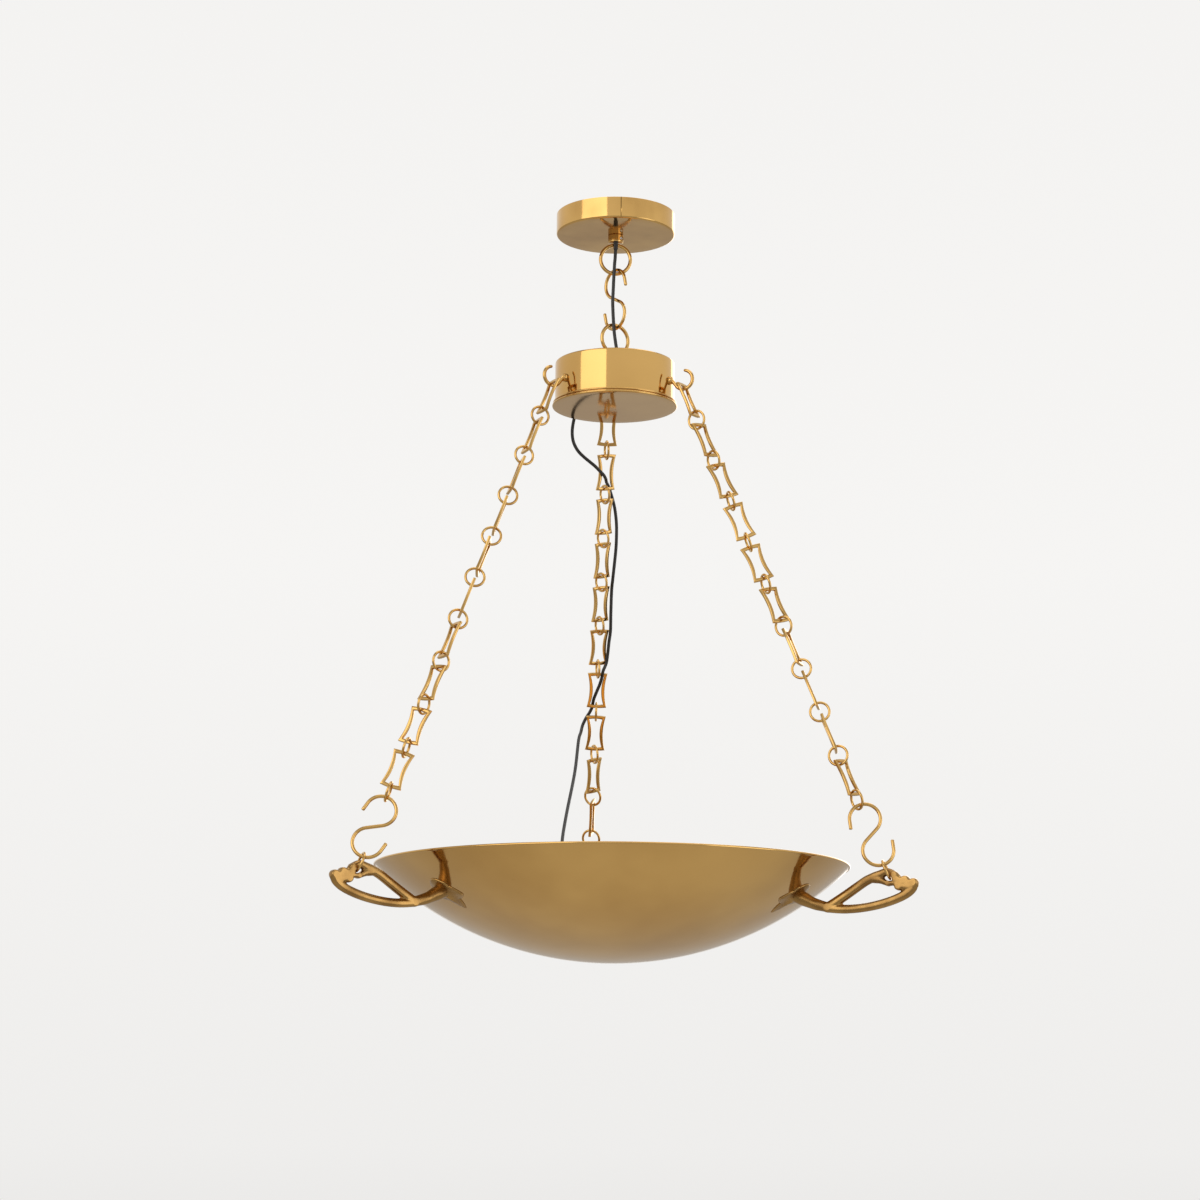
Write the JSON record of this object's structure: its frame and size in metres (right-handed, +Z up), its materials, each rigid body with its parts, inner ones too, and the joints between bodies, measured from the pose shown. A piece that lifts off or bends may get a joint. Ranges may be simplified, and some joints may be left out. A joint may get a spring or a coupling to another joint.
{
  "type": "bowl chandelier",
  "caption": "Brass ceiling lamp with a spun bowl hung by long link chains from a hub drum, cast arms with leaf feet, rings and hooks up to a ceiling cup, and a black cord.",
  "frame": {"origin": "middle of the ceiling cup's rim, on the ceiling, and of the two bracket screw holes", "axes": "+Z up, +Y towards the back chain's arm, +X to the right seen from the front; the bracket lies along X"},
  "size_m": [0.7086, 0.7095, 0.9819],
  "materials": {
    "polished_brass": "polished, slightly aged",
    "cast_brass": "cast and darkened",
    "zinc_steel": "zinc plated",
    "black_rubber": "smooth",
    "black_plastic": "moulded",
    "white_ceramic": "glazed",
    "white_plastic": "smooth",
    "opal_glass": "opal white"
  },
  "bodies": {
    "ceiling": {"canopy": "polished_brass", "ceiling_bracket": "zinc_steel", "suspension_bolt": "zinc_steel", "suspension_nut": "zinc_steel", "ferrule": "polished_brass", "ferrule_screw": "zinc_steel", "mains_terminal": "white_ceramic", "canopy_lead": "black_rubber", "cord_sleeve": "black_rubber", "ferrule_cord": "black_rubber"},
    "top_ring": {"top_ring": "polished_brass", "ring_cord": "black_rubber"},
    "top_hook": {"top_hook": "polished_brass", "hook_cord": "black_rubber"},
    "hub_ring": {"hub_ring": "polished_brass", "hub_cord": "black_rubber"},
    "hub": {"hub_drum": "polished_brass", "hub_plate": "polished_brass", "hub_eye": "polished_brass", "left_hub_hook": "polished_brass", "right_hub_hook": "polished_brass", "back_hub_hook": "polished_brass", "hub_nuts": "zinc_steel", "hub_terminal": "white_ceramic", "hub_leads": "black_rubber", "hub_grommets": "black_rubber", "drum_cord": "black_rubber"},
    "left_chain": {"left_links": "polished_brass", "left_rings": "polished_brass", "left_hook": "polished_brass", "left_arm_ring": "polished_brass"},
    "right_chain": {"right_links": "polished_brass", "right_rings": "polished_brass", "right_hook": "polished_brass", "right_arm_ring": "polished_brass"},
    "back_chain": {"back_links": "polished_brass", "back_rings": "polished_brass", "back_hook": "polished_brass", "back_arm_ring": "polished_brass", "chain_cord": "black_rubber"},
    "bowl": {"left_arm": "cast_brass", "right_arm": "cast_brass", "back_arm": "cast_brass", "arm_screws": "zinc_steel", "arm_washers": "zinc_steel", "bowl": "polished_brass", "tray_stud": "polished_brass", "lamp_tray": "zinc_steel", "lamp_nuts": "zinc_steel", "left_lampholder": "black_plastic", "right_lampholder": "black_plastic", "front_lampholder": "black_plastic", "left_bulb": "opal_glass", "right_bulb": "opal_glass", "front_bulb": "opal_glass", "bulb_caps": "zinc_steel", "bowl_terminal": "white_ceramic", "lamp_leads": "white_plastic", "cord_grip": "black_plastic", "bowl_cord": "black_rubber"}
  },
  "joints": [
    {"name": "ring_swing", "type": "hinge", "parent": "ceiling", "child": "top_ring", "pos_m": [0, 0, -0.041], "axis": [1, 0, 0], "range_deg": [-12, 12], "deforming": ["ferrule_cord"]},
    {"name": "hook_swing", "type": "hinge", "parent": "top_ring", "child": "top_hook", "pos_m": [0, 0, -0.0802], "axis": [0, 1, 0], "range_deg": [-12, 12], "deforming": ["ring_cord"]},
    {"name": "hub_turn", "type": "hinge", "parent": "top_hook", "child": "hub_ring", "pos_m": [0, 0, -0.1552], "axis": [0, 0, 1], "range_deg": [-25, 25], "deforming": ["hook_cord"]},
    {"name": "hub_swing", "type": "hinge", "parent": "hub_ring", "child": "hub", "pos_m": [0, 0, -0.1894], "axis": [0.9063, 0.4226, 0], "range_deg": [-12, 12], "deforming": ["hub_cord"]},
    {"name": "chain_sway", "type": "hinge", "parent": "hub", "child": "back_chain", "pos_m": [0, 0.098, -0.2473], "axis": [0, 1, 0], "range_deg": [-6, 6], "deforming": ["drum_cord"]},
    {"name": "left_chain_sway", "type": "hinge", "parent": "hub", "child": "left_chain", "pos_m": [-0.08487, -0.049, -0.2348], "axis": [0, 1, 0], "range_deg": [-5.88, 5.88]},
    {"name": "right_chain_sway", "type": "hinge", "parent": "hub", "child": "right_chain", "pos_m": [0.08487, -0.049, -0.2348], "axis": [0, 1, 0], "range_deg": [-5.88, 5.88]},
    {"name": "bowl_level", "type": "hinge", "parent": "back_chain", "child": "bowl", "pos_m": [0, 0.3676, -0.87987], "axis": [0, 1, 0], "range_deg": [-1.6, 1.6], "deforming": ["bowl_cord"]}
  ],
  "couplings": [
    {"joint": "left_chain_sway", "follows": "chain_sway", "ratio": 0.9806},
    {"joint": "right_chain_sway", "follows": "chain_sway", "ratio": 0.9806},
    {"joint": "bowl_level", "follows": "chain_sway", "ratio": -0.2666}
  ]
}
